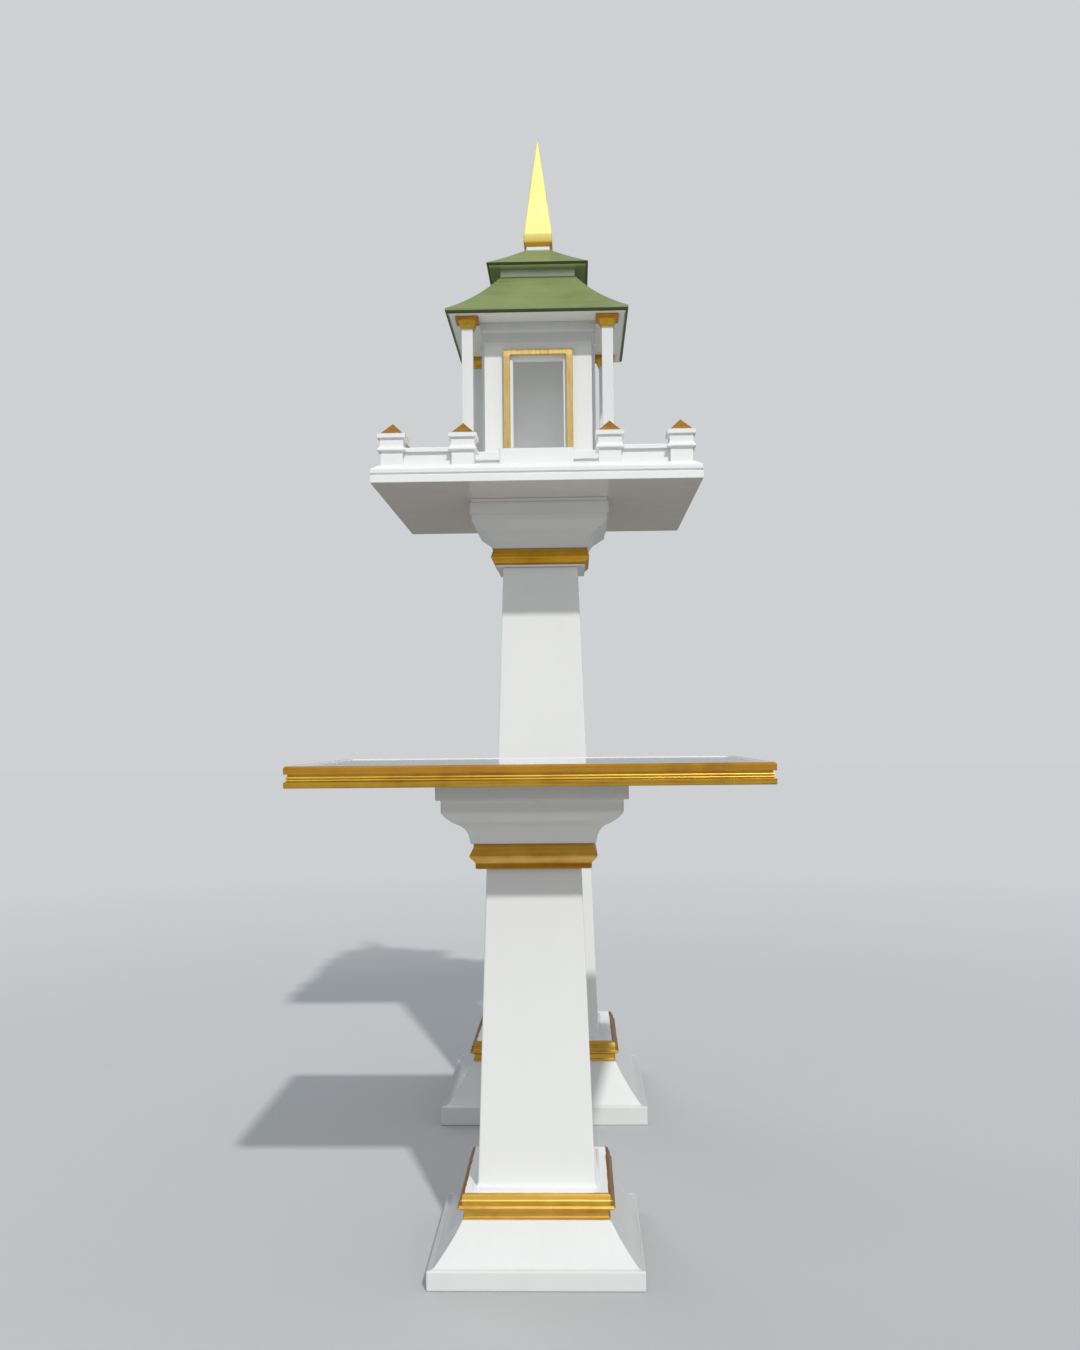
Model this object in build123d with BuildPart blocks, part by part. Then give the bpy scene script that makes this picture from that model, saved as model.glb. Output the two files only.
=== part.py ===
from build123d import *
import os

# A modern spirit house of cast and painted cement: a small shrine on a tall
# tapered pillar, with its matching offering table on a pedestal in front.
# Millimetres, +Z up. The origin is on the ground under the pillar, and the
# doorway and the table face -Y.

# Pillar foot
foot_width = 486
foot_plinth_height = 43
flare_bottom_width = 458
flare_top_width = 342
flare_height = 88
flare_sag = 3

# Gold band round the foot
foot_band_bottom_width = 342
foot_band_nose_width = 358
foot_band_top_width = 330
foot_band_height = 47

# Pillar and its gold neck band
pillar_bottom_width = 264
pillar_top_width = 187
pillar_height = 1159
neck_band_bottom_width = 223
neck_band_nose_width = 245
neck_band_top_width = 236
neck_band_height = 44

# White capital
ogee_bottom_width = 240
ogee_top_width = 333
ogee_height = 63
ogee_turn_rise = 0.69
capital_step_height = 16
capital_width = 342
capital_block_height = 30
capital_bed_inset = 3
capital_bed_height = 9

# Platform slab
slab_width = 766
slab_band_height = 18
slab_groove_height = 4
slab_groove_depth = 4
slab_upper_band_height = 10
slab_bevel_height = 11
slab_bevel_run = 15

# Balustrade posts, their gold caps and the panels between them
post_width = 52
post_moulding_width = 66
post_neck_width = 55
post_splay = 1
post_shaft_height = 34
post_ledge_height = 5
post_hollow_height = 11
post_hollow_sag = 1.5
post_neck_height = 14
post_band_height = 10
post_shoulder_height = 3
post_cap_width = 51
post_cap_height = 27
tip_width = 0.5
post_setback = 6.5
entrance_gap = 289
panel_thickness = 22
coping_width = 36
coping_thickness = 10
coping_bevel = 2
balustrade_height = 44

# House plinth and doorstep
plinth_margin = 6
plinth_height = 68
plinth_top_band = 22
plinth_recess = 6
step_width = 172
step_height = 41
step_setback = 23

# House walls
house_width = 268
wall_height = 335
wall_thickness = 22
door_width = 126
door_height = 243
side_panel_margin = 34
side_panel_depth = 9

# Cornice at the top of the walls: a hollow cove under two stepped bands
cove_height = 29
cove_run = 7
cornice_band_height = 9
cornice_top_band_height = 11
cornice_top_band_step = 3

# Gold door frame
frame_reveal = 7
frame_top_reveal = 10
frame_band = 16.5
frame_top_band = 14
frame_depth = 12

# Columns and their gold capitals
column_width = 27.5
column_capital_gap = 0.5
column_capital_width = 56
column_capital_height = 28
column_capital_block = 8
column_capital_step = 6
column_capital_foot_width = 30

# Roofs
eave_overhang = 23
lower_fascia_height = 12
lower_undercut_height = 5.5
lower_undercut_run = 4
lower_roof_top_width = 188
lower_roof_rise = 121
lower_roof_sag = 8
soffit_margin = 8
soffit_thickness = 8
roof_neck_width = 188
roof_neck_height = 20
upper_eave_width = 256
upper_fascia_height = 6
upper_undercut_height = 4.5
upper_undercut_run = 3
upper_roof_top_width = 60
upper_roof_rise = 67
upper_roof_sag = 2

# Spire
spire_neck_width = 60
spire_neck_height = 9
spire_foot_width = 63
spire_width = 73.5
spire_bevel_height = 9
spire_upright_height = 22
spire_height = 268

# Offering table
table_front_distance = 958
table_side_shift = 9
table_foot_width = 364
table_plinth_height = 33
table_flare_bottom_width = 344
table_flare_top_width = 252
table_flare_height = 63
table_flare_sag = 2.5
table_foot_band_bottom_width = 250
table_foot_band_nose_width = 268
table_foot_band_top_width = 248
table_foot_band_height = 44
table_column_bottom_width = 202
table_column_top_width = 166
table_column_height = 545
table_neck_bottom_width = 202
table_neck_nose_width = 222
table_neck_top_width = 208
table_neck_height = 44
table_ogee_bottom_width = 217
table_ogee_top_width = 311
table_ogee_height = 57
table_ogee_turn_rise = 0.615
table_step_height = 21
table_capital_width = 328
table_capital_block_height = 28
table_width = 789
table_depth = 576
table_lower_lip = 10
table_bead = 4.5
table_groove = 3.5
table_upper_lip = 13
table_recess = 5.5
table_lower_bevel = 1.5
table_upper_bevel = 2.5
table_rim_width = 14
table_top_drop = 1.5

# Shapes that both pedestals share, as shares of each moulding's own size
ogee_straight_run = 0.047
ogee_straight_rise = 0.20
ogee_turn_run = 0.45
band_base = 0.11
band_base_step = 0.15
band_hollow = 0.34
band_nose = 0.46
band_nose_top = 0.51
band_ledge = 0.55
band_ledge_run = 0.22
band_face = 0.76
band_face_run = 0.34
band_fillet = 0.80
band_fillet_run = 0.50
band_shoulder = 0.92
band_shoulder_run = 0.66
neck_base = 0.23
neck_nose = 0.48
neck_nose_top = 0.54
neck_shoulder = 0.87

# Heights above the ground, from the foot up
flare_level = foot_plinth_height
foot_band_level = flare_level + flare_height
pillar_level = foot_band_level + foot_band_height
neck_band_level = pillar_level + pillar_height
capital_level = neck_band_level + neck_band_height
capital_height = ogee_height + capital_step_height + capital_block_height + capital_bed_height
slab_level = capital_level + capital_height
slab_height = slab_band_height + slab_groove_height + slab_upper_band_height + slab_bevel_height
deck_level = slab_level + slab_height
floor_level = deck_level + plinth_height
soffit_level = floor_level + wall_height
cornice_height = cove_height + cornice_band_height + cornice_top_band_height
cornice_level = soffit_level - cornice_height
eave_level = soffit_level
lower_roof_top = eave_level + lower_fascia_height + lower_roof_rise
upper_eave_level = lower_roof_top + roof_neck_height
upper_roof_top = upper_eave_level + upper_fascia_height + upper_roof_rise
spire_level = upper_roof_top + spire_neck_height

table_band_level = table_plinth_height + table_flare_height
table_column_level = table_band_level + table_foot_band_height
table_neck_level = table_column_level + table_column_height
table_capital_level = table_neck_level + table_neck_height
table_block_level = table_capital_level + table_ogee_height + table_step_height
table_level = table_block_level + table_capital_block_height
table_edge_height = table_lower_lip + 2 * table_bead + table_groove + table_upper_lip

post_ledge_level = post_shaft_height + post_ledge_height
post_neck_level = post_ledge_level + post_hollow_height
post_band_level = post_neck_level + post_neck_height
post_shoulder_level = post_band_level + post_band_height
post_height = post_shoulder_level + post_shoulder_height

# Places on the platform, worked out from the slab, the walls and the mouldings
deck_half = slab_width / 2 - slab_bevel_run
corner_post_offset = deck_half - post_setback - post_width / 2
inner_post_offset = (entrance_gap + post_width) / 2
step_front = deck_half - step_setback
cornice_width = house_width + 2 * (cove_run + cornice_top_band_step)
column_offset = (cornice_width + column_capital_width) / 2 + column_capital_gap
plinth_width = 2 * column_offset + column_width + 2 * plinth_margin
lower_eave_width = 2 * column_offset + column_capital_width + 2 * eave_overhang

os.makedirs("parts", exist_ok=True)


def save(body, name):
    """Label a finished piece and write it to its own file."""
    body.part.label = name
    export_step(body.part, f"parts/{name}.step")


def side_planes(level, x=0, y=0):
    """The two upright planes through a body's axis, with their origin at its foot."""
    front = Plane(origin=(x, y, level), x_dir=(1, 0, 0), z_dir=(0, -1, 0))
    side = Plane(origin=(x, y, level), x_dir=(0, 1, 0), z_dir=(1, 0, 0))
    return front, side


def moulded(outline, level, x=0, y=0, width=0, depth=0):
    """A four-sided body whose sides all carry the same outline, mitred at the corners.

    The outline draws the right half of the section. The same outline is run
    through the body both ways, and the body is what both runs share.
    """
    front, side = side_planes(level, x, y)
    reach = 2 * table_width
    with BuildPart() as body:
        with BuildSketch(front):
            with BuildLine():
                outline(width / 2)
                mirror(about=Plane.YZ)
            make_face()
        extrude(amount=reach, both=True)
        with BuildSketch(side):
            with BuildLine():
                outline(depth / 2)
                mirror(about=Plane.YZ)
            make_face()
        extrude(amount=reach, both=True, mode=Mode.INTERSECT)
    return body


def block(width, depth, height, level, x=0, y=0):
    """A plain upright block, centred on x and y."""
    with BuildPart() as body:
        with BuildSketch(Plane((x, y, level))):
            Rectangle(width, depth)
        extrude(amount=height)
    return body


def tapered_column(bottom_width, top_width, height, level, x=0, y=0):
    """A square column that narrows evenly towards its top."""
    with BuildPart() as body:
        with BuildSketch(Plane((x, y, level))):
            Rectangle(bottom_width, bottom_width)
        with BuildSketch(Plane((x, y, level + height))):
            Rectangle(top_width, top_width)
        loft()
    return body


def foot_outline(width, plinth, flare_bottom, flare_top, flare, sag):
    """Right half of a pedestal foot: an upright plinth under a hollow flare."""
    def draw(_):
        top = plinth + flare
        Polyline((0, 0), (width / 2, 0), (width / 2, plinth), (flare_bottom / 2, plinth))
        SagittaArc((flare_bottom / 2, plinth), (flare_top / 2, top), sag)
        Line((flare_top / 2, top), (0, top))
    return draw


def foot_band_outline(bottom, nose, top, height):
    """Right half of a foot band: base band, hollow, nose, two stepped faces and a sloped top."""
    def draw(_):
        run = (nose - top) / 2
        hollow = bottom / 2 - band_base_step * run
        Polyline(
            (0, 0),
            (bottom / 2, 0),
            (bottom / 2, band_base * height),
            (hollow, band_base * height),
            (hollow, band_hollow * height),
            (nose / 2, band_nose * height),
            (nose / 2, band_nose_top * height),
            (nose / 2 - band_ledge_run * run, band_ledge * height),
            (nose / 2 - band_face_run * run, band_face * height),
            (nose / 2 - band_fillet_run * run, band_fillet * height),
            (nose / 2 - band_shoulder_run * run, band_shoulder * height),
            (top / 2, height),
            (0, height),
        )
    return draw


def neck_band_outline(bottom, nose, top, height):
    """Right half of a neck band: an upright base, a pointed nose and a lip on top."""
    def draw(_):
        Polyline(
            (0, 0),
            (bottom / 2, 0),
            (bottom / 2, neck_base * height),
            (nose / 2, neck_nose * height),
            (nose / 2, neck_nose_top * height),
            (top / 2, neck_shoulder * height),
            (top / 2, height),
            (0, height),
        )
    return draw


def capital_outline(bottom, ogee_top, ogee, turn_rise, step, block_width, block_height):
    """Right half of a capital: a double curve, a thin step and a square block."""
    def draw(_):
        run = (ogee_top - bottom) / 2
        block_top = ogee + step + block_height
        neck = (bottom / 2 + ogee_straight_run * run, ogee_straight_rise * ogee)
        turn = (bottom / 2 + ogee_turn_run * run, turn_rise * ogee)
        straight = Polyline((0, 0), (bottom / 2, 0), neck)
        hollow = TangentArc(neck, turn, tangent=straight % 1)
        TangentArc(turn, (ogee_top / 2, ogee), tangent=hollow % 1)
        Polyline(
            (ogee_top / 2, ogee),
            (ogee_top / 2, ogee + step),
            (block_width / 2, ogee + step),
            (block_width / 2, block_top),
            (0, block_top),
        )
    return draw


def slab_outline(half):
    """Right half of the platform slab: two bands with a groove between, and a bevel."""
    groove_half = half - slab_groove_depth
    groove_level = slab_band_height
    upper_level = groove_level + slab_groove_height
    bevel_level = upper_level + slab_upper_band_height
    Polyline(
        (0, 0),
        (half, 0),
        (half, groove_level),
        (groove_half, groove_level),
        (groove_half, upper_level),
        (half, upper_level),
        (half, bevel_level),
        (half - slab_bevel_run, slab_height),
        (0, slab_height),
    )


def post_outline(_):
    """Right half of a balustrade post: shaft, moulded ledge, hollow neck and top band."""
    shaft = post_width / 2
    moulding = post_moulding_width / 2
    neck = post_neck_width / 2
    Polyline(
        (0, 0),
        (shaft, 0),
        (shaft, post_shaft_height),
        (moulding, post_shaft_height + post_splay),
        (moulding, post_ledge_level),
    )
    SagittaArc((moulding, post_ledge_level), (neck, post_neck_level), post_hollow_sag)
    Polyline(
        (neck, post_neck_level),
        (neck, post_band_level),
        (moulding, post_band_level + post_splay),
        (moulding, post_shoulder_level),
        (post_cap_width / 2, post_height),
        (0, post_height),
    )


def post_row(places, name):
    """Equal balustrade posts at the given places, and their gold pyramid caps."""
    with BuildPart() as posts:
        for x, y in places:
            add(moulded(post_outline, deck_level, x, y).part)
    save(posts, f"{name}_posts")
    with BuildPart() as caps:
        for x, y in places:
            with BuildSketch(Plane((x, y, deck_level + post_height))):
                Rectangle(post_cap_width, post_cap_width)
            with BuildSketch(Plane((x, y, deck_level + post_height + post_cap_height))):
                Rectangle(tip_width, tip_width)
            loft()
    save(caps, f"{name}_post_caps")
    return posts.part


def balustrade_section(start, end):
    """One panel with its coping, drawn across its width and run from start to end."""
    run = Plane(origin=start, x_dir=(end - start).cross(Vector(0, 0, 1)).normalized(), z_dir=end - start)
    panel_height = balustrade_height - coping_thickness
    with BuildPart() as section:
        with BuildSketch(run):
            with BuildLine():
                Polyline(
                    (0, 0),
                    (panel_thickness / 2, 0),
                    (panel_thickness / 2, -panel_height),
                    (coping_width / 2, -panel_height),
                    (coping_width / 2, -balustrade_height + coping_bevel),
                    (coping_width / 2 - coping_bevel, -balustrade_height),
                    (0, -balustrade_height),
                )
                mirror(about=Plane.YZ)
            make_face()
        extrude(amount=(end - start).length)
    return section


def balustrade(name, stops, place):
    """Panels along one side of the platform, with their ends cut to the posts' mouldings."""
    with BuildPart() as panels:
        for first, last in stops:
            add(balustrade_section(place(first), place(last)).part)
        for posts in post_rows:
            add(posts, mode=Mode.SUBTRACT)
    save(panels, name)


def roof_outline(eave, fascia, undercut, undercut_run, top, rise, sag):
    """Right half of a swept roof: an undercut fascia below a hollow slope."""
    def draw(_):
        Polyline((0, 0), (eave / 2 - undercut_run, 0), (eave / 2, undercut), (eave / 2, fascia))
        SagittaArc((eave / 2, fascia), (top / 2, fascia + rise), sag)
        Line((top / 2, fascia + rise), (0, fascia + rise))
    return draw


# Pedestal of the shrine
pillar_foot = moulded(
    foot_outline(
        foot_width, foot_plinth_height, flare_bottom_width, flare_top_width, flare_height, flare_sag
    ),
    0,
)
save(pillar_foot, "pillar_foot")

foot_band = moulded(
    foot_band_outline(foot_band_bottom_width, foot_band_nose_width, foot_band_top_width, foot_band_height),
    foot_band_level,
)
save(foot_band, "pillar_foot_band")

pillar = tapered_column(pillar_bottom_width, pillar_top_width, pillar_height, pillar_level)
save(pillar, "pillar")

neck_band = moulded(
    neck_band_outline(neck_band_bottom_width, neck_band_nose_width, neck_band_top_width, neck_band_height),
    neck_band_level,
)
save(neck_band, "pillar_neck_band")

bed_width = capital_width - 2 * capital_bed_inset
with BuildPart() as capital:
    add(
        moulded(
            capital_outline(
                ogee_bottom_width,
                ogee_top_width,
                ogee_height,
                ogee_turn_rise,
                capital_step_height,
                capital_width,
                capital_block_height,
            ),
            capital_level,
        ).part
    )
    with BuildSketch(Plane.XY.offset(slab_level - capital_bed_height)):
        Rectangle(bed_width, bed_width)
    extrude(amount=capital_bed_height)
save(capital, "pillar_capital")

# Platform and its balustrade
platform_slab = moulded(slab_outline, slab_level, width=slab_width, depth=slab_width)
save(platform_slab, "platform_slab")

post_stops = [-corner_post_offset, -inner_post_offset, inner_post_offset, corner_post_offset]
post_rows = [
    post_row([(x, -corner_post_offset) for x in post_stops], "front"),
    post_row([(x, corner_post_offset) for x in post_stops], "rear"),
    post_row([(x, y) for x in post_stops[::3] for y in post_stops[1:3]], "side"),
]

shaft_half = post_width / 2
outer_left = (-corner_post_offset + shaft_half, -inner_post_offset - shaft_half)
middle = (-inner_post_offset + shaft_half, inner_post_offset - shaft_half)
outer_right = (inner_post_offset + shaft_half, corner_post_offset - shaft_half)
front_place = lambda s: Vector(s, -corner_post_offset, deck_level)
rear_place = lambda s: Vector(s, corner_post_offset, deck_level)
left_place = lambda s: Vector(-corner_post_offset, s, deck_level)
right_place = lambda s: Vector(corner_post_offset, s, deck_level)
balustrade("front_balustrade", [outer_left, outer_right], front_place)
balustrade("rear_balustrade", [outer_left, middle, outer_right], rear_place)
balustrade("left_balustrade", [outer_left, middle, outer_right], left_place)
balustrade("right_balustrade", [outer_left, middle, outer_right], right_place)



def plinth_outline(half):
    """Right half of the house plinth: a set-back base under a projecting top band."""
    band_level = plinth_height - plinth_top_band
    Polyline(
        (0, 0),
        (half - plinth_recess, 0),
        (half - plinth_recess, band_level),
        (half, band_level),
        (half, plinth_height),
        (0, plinth_height),
    )


# House plinth, and the doorstep against its set-back base
house_plinth = moulded(plinth_outline, deck_level, width=plinth_width, depth=plinth_width)
save(house_plinth, "house_plinth")

step_back = plinth_width / 2 - plinth_recess
doorstep = block(step_width, step_front - step_back, step_height, deck_level, y=-(step_front + step_back) / 2)
save(doorstep, "doorstep")

# House walls, split beside and over the doorway
front_wall_y = -(house_width - wall_thickness) / 2
pier_width = (house_width - door_width) / 2
pier_x = (door_width + pier_width) / 2
for name, side in (("left", -1), ("right", 1)):
    pier = block(pier_width, wall_thickness, wall_height, floor_level, side * pier_x, front_wall_y)
    save(pier, f"front_wall_{name}")

lintel_height = wall_height - door_height
lintel = block(door_width, wall_thickness, lintel_height, floor_level + door_height, y=front_wall_y)
save(lintel, "front_wall_over_door")

rear_wall = block(house_width, wall_thickness, wall_height, floor_level, y=-front_wall_y)
save(rear_wall, "rear_wall")

side_wall_length = house_width - 2 * wall_thickness
side_panel_width = house_width - 2 * side_panel_margin
for name, side in (("left", -1), ("right", 1)):
    wall = block(wall_thickness, side_wall_length, wall_height, floor_level, side * -front_wall_y)
    save(wall, f"{name}_wall")
    panel_x = side * (house_width + side_panel_depth) / 2
    panel_height = wall_height - cornice_height
    raised = block(side_panel_depth, side_panel_width, panel_height, floor_level, panel_x)
    save(raised, f"{name}_wall_panel")


def cornice_outline(wall):
    """Right half of the wall cornice: a hollow cove under two stepped bands."""
    band = wall + cove_run
    top_band = band + cornice_top_band_step
    band_top = cove_height + cornice_band_height
    Line((0, 0), (wall, 0))
    TangentArc((wall, 0), (band, cove_height), tangent=(0, 1))
    Polyline(
        (band, cove_height),
        (band, band_top),
        (top_band, band_top),
        (top_band, cornice_height),
        (0, cornice_height),
    )


with BuildPart() as house_cornice:
    add(moulded(cornice_outline, cornice_level, width=house_width, depth=house_width).part)
    with BuildSketch(Plane.XY.offset(cornice_level)):
        Rectangle(house_width, house_width)
    extrude(amount=cornice_height, mode=Mode.SUBTRACT)
save(house_cornice, "house_cornice")

# Gold frame round the doorway, on both sides and over the top
frame_inner_half = door_width / 2 + frame_reveal
frame_inner_top = door_height + frame_top_reveal
frame_outer_half = frame_inner_half + frame_band
frame_outer_top = frame_inner_top + frame_top_band
frame_plane = Plane(origin=(0, -house_width / 2, floor_level), x_dir=(1, 0, 0), z_dir=(0, -1, 0))
with BuildPart() as door_frame:
    with BuildSketch(frame_plane):
        with BuildLine():
            Polyline(
                (frame_inner_half, 0),
                (frame_outer_half, 0),
                (frame_outer_half, frame_outer_top),
                (-frame_outer_half, frame_outer_top),
                (-frame_outer_half, 0),
                (-frame_inner_half, 0),
                (-frame_inner_half, frame_inner_top),
                (frame_inner_half, frame_inner_top),
                close=True,
            )
        make_face()
    extrude(amount=frame_depth)
save(door_frame, "door_frame")

# Four columns under the eaves, with gold capitals
column_height = wall_height - column_capital_height
capital_waist = column_capital_width - 2 * column_capital_step


def column_capital_outline(_):
    """Right half of a column capital: a widening foot under a square block."""
    taper = column_capital_height - column_capital_block
    Polyline(
        (0, 0),
        (column_capital_foot_width / 2, 0),
        (capital_waist / 2, taper),
        (column_capital_width / 2, taper),
        (column_capital_width / 2, column_capital_height),
        (0, column_capital_height),
    )


for name, y in (("front", -column_offset), ("rear", column_offset)):
    with BuildPart() as columns:
        for x in (-column_offset, column_offset):
            add(block(column_width, column_width, column_height, floor_level, x, y).part)
    save(columns, f"{name}_columns")
    with BuildPart() as column_capitals:
        for x in (-column_offset, column_offset):
            add(moulded(column_capital_outline, floor_level + column_height, x, y).part)
    save(column_capitals, f"{name}_column_capitals")

# Roofs
soffit_width = lower_eave_width - 2 * soffit_margin
soffit = block(soffit_width, soffit_width, soffit_thickness, soffit_level)
save(soffit, "roof_soffit")

with BuildPart() as lower_roof:
    add(
        moulded(
            roof_outline(
                lower_eave_width,
                lower_fascia_height,
                lower_undercut_height,
                lower_undercut_run,
                lower_roof_top_width,
                lower_roof_rise,
                lower_roof_sag,
            ),
            eave_level,
        ).part
    )
    with BuildSketch(Plane.XY.offset(eave_level)):
        Rectangle(soffit_width, soffit_width)
    extrude(amount=soffit_thickness, mode=Mode.SUBTRACT)
save(lower_roof, "lower_roof")

roof_neck = block(roof_neck_width, roof_neck_width, roof_neck_height, lower_roof_top)
save(roof_neck, "roof_neck")

upper_roof = moulded(
    roof_outline(
        upper_eave_width,
        upper_fascia_height,
        upper_undercut_height,
        upper_undercut_run,
        upper_roof_top_width,
        upper_roof_rise,
        upper_roof_sag,
    ),
    upper_eave_level,
)
save(upper_roof, "upper_roof")

# Spire
spire_neck = block(spire_neck_width, spire_neck_width, spire_neck_height, upper_roof_top)
save(spire_neck, "spire_neck")


def spire_outline(_):
    """Right half of the spire: a bevelled foot, an upright band and a slim point."""
    point_level = spire_bevel_height + spire_upright_height
    Polyline(
        (0, 0),
        (spire_foot_width / 2, 0),
        (spire_width / 2, spire_bevel_height),
        (spire_width / 2, point_level),
        (tip_width, point_level + spire_height),
        (0, point_level + spire_height),
    )


spire = moulded(spire_outline, spire_level)
save(spire, "spire")

# Offering table on its own pedestal
table_place = {"x": table_side_shift, "y": -table_front_distance}

table_foot = moulded(
    foot_outline(
        table_foot_width,
        table_plinth_height,
        table_flare_bottom_width,
        table_flare_top_width,
        table_flare_height,
        table_flare_sag,
    ),
    0,
    **table_place,
)
save(table_foot, "table_foot")

table_foot_band = moulded(
    foot_band_outline(
        table_foot_band_bottom_width,
        table_foot_band_nose_width,
        table_foot_band_top_width,
        table_foot_band_height,
    ),
    table_band_level,
    **table_place,
)
save(table_foot_band, "table_foot_band")

table_column = tapered_column(
    table_column_bottom_width,
    table_column_top_width,
    table_column_height,
    table_column_level,
    **table_place,
)
save(table_column, "table_column")

table_neck_band = moulded(
    neck_band_outline(
        table_neck_bottom_width,
        table_neck_nose_width,
        table_neck_top_width,
        table_neck_height,
    ),
    table_neck_level,
    **table_place,
)
save(table_neck_band, "table_neck_band")

table_capital = moulded(
    capital_outline(
        table_ogee_bottom_width,
        table_ogee_top_width,
        table_ogee_height,
        table_ogee_turn_rise,
        table_step_height,
        table_capital_width,
        table_capital_block_height,
    ),
    table_capital_level,
    **table_place,
)
save(table_capital, "table_capital")


def table_edge_outline(half):
    """Right half of the table edge: two lips with a groove and two beads between."""
    recess = half - table_recess
    first_bead = table_lower_lip + table_bead
    second_bead = first_bead + table_bead
    upper_lip = second_bead + table_groove
    Polyline(
        (0, 0),
        (half - table_lower_bevel, 0),
        (half, table_lower_bevel),
        (half, table_lower_lip),
        (recess, table_lower_lip),
    )
    SagittaArc((recess, table_lower_lip), (recess, first_bead), -table_bead / 2)
    SagittaArc((recess, first_bead), (recess, second_bead), -table_bead / 2)
    Polyline(
        (recess, second_bead),
        (recess, upper_lip),
        (half, upper_lip),
        (half, table_edge_height - table_upper_bevel),
        (half - table_upper_bevel, table_edge_height),
        (0, table_edge_height),
    )


table_plane = Plane((table_side_shift, -table_front_distance, table_level))
inner_width = table_width - 2 * table_rim_width
inner_depth = table_depth - 2 * table_rim_width
with BuildPart() as table_edge:
    add(moulded(table_edge_outline, table_level, width=table_width, depth=table_depth, **table_place).part)
    with BuildSketch(table_plane):
        Rectangle(inner_width, inner_depth)
    extrude(amount=table_edge_height, mode=Mode.SUBTRACT)
save(table_edge, "table_edge")

table_top = block(inner_width, inner_depth, table_edge_height - table_top_drop, table_level, **table_place)
save(table_top, "table_top")
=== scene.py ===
"""Looks of the spirit house and its offering table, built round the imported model."""
import math

import bpy
from mathutils import Matrix, Vector

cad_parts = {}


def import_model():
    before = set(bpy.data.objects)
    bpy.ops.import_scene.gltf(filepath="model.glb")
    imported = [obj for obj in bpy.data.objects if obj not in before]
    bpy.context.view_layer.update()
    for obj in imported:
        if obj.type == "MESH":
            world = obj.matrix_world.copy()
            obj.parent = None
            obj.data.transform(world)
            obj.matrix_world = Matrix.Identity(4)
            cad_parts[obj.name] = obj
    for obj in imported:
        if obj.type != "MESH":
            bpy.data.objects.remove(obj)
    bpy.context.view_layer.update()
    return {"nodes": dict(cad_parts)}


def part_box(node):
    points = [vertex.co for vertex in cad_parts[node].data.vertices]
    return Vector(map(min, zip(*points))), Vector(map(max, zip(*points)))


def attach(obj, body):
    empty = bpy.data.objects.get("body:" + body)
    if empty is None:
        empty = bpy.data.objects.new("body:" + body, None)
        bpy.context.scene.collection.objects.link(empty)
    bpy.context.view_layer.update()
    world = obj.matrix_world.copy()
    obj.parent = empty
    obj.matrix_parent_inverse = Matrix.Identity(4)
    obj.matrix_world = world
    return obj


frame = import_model()

# Camera, as the photograph was taken, with its place in the row frame
IMAGE_HEIGHT = 1350
FOCAL_PIXELS = 1280
SENSOR_WIDTH = 36
CAMERA_PLACE = (0.0857, -3.291, 0.92)
CAMERA_YAW = math.radians(-1.602)
CAMERA_PITCH = math.radians(2.603)
CAMERA_ROLL = math.radians(-0.562)

# Lamps: where each shines from, its strength, how wide it looks in degrees, and its colour.
# The main lamp stands high on the front right, and the room lamp reaches only the back of the room.
MAIN_LAMP = ((0.2417, -0.6903, 0.6820), 2.26, 1.8, (1.0, 0.985, 0.96))
FILL_LAMP = ((0.03, -0.995, 0.06), 0.06, 24, (1.0, 1.0, 1.0))
BACK_LAMP = ((-0.52, 0.62, 0.59), 0.44, 35, (0.97, 0.985, 1.0))
ROOM_LAMP = ((0, -1, 0), 0.31, 24, (0.98, 1.0, 1.0))
LAMP_DISTANCE = 5
SKY_STRENGTH = 0.62
SKY_COLOUR = (0.905, 0.965, 1.015)

# Backdrop, and what polished surfaces mirror beyond the object: open ground and sky, darker than it,
# and darkest behind the object
BACKDROP = (0.62, 0.635, 0.65)
MIRRORED = (0.30, 0.315, 0.33)
MIRRORED_BEHIND = (0.085, 0.09, 0.085)
BEHIND_NEAR = 0.8
BEHIND_FAR = 2.4

# Floor: its colour to the eye, the light that it throws back, and where it fades into the backdrop
FLOOR_HALF = 30
FLOOR_COLOUR = (0.47, 0.475, 0.48)
FLOOR_VARIATION = 1.01
FLOOR_BOUNCE = (0.358, 0.352, 0.335)
FLOOR_ROUGHNESS = 0.9
FLOOR_SHEEN = 0.1
FLOOR_NEAR = 1.6
FLOOR_FAR = 5.5

# White paints, linear: the darker tone and the lighter one, then the range of roughness
WHITE = ((0.793, 0.800, 0.796), (0.828, 0.832, 0.826))
SHAFT_WHITE = ((0.770, 0.774, 0.766), (0.800, 0.802, 0.792))
COLUMN_WHITE = ((0.728, 0.732, 0.724), (0.760, 0.762, 0.752))
# The pillar capital's white is lighter; its bands darken most of it again as painted shade and leave its bed
# light as painted light
PILLAR_CAPITAL_WHITE = ((0.880, 0.884, 0.874), (0.915, 0.918, 0.906))
WALL_WHITE = ((0.768, 0.774, 0.770), (0.802, 0.806, 0.800))
# The feet's white is darker, a painted shade on their upward flares
FOOT_WHITE_SHADED = ((0.70, 0.708, 0.702), (0.735, 0.742, 0.735))
# The soffit's white is lighter, a painted light on its underside
SOFFIT_WHITE_LIT = ((0.850, 0.850, 0.830), (0.885, 0.885, 0.865))
# The cornice's white is darker, a painted shade under the eaves
CORNICE_WHITE_SHADED = ((0.668, 0.674, 0.662), (0.71, 0.716, 0.704))
WHITE_GLOSS = (0.11, 0.20)

# The room's walls and floor have a flatter white, lighter than the rest as painted light for the dim room;
# the plain shine is that of the rest
ROOM_WHITE_LIT = (0.945, 0.95, 0.945)
ROOM_ROUGHNESS = 0.55
ROOM_SPECULAR = 0.2
PLAIN_SPECULAR = 0.5
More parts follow.
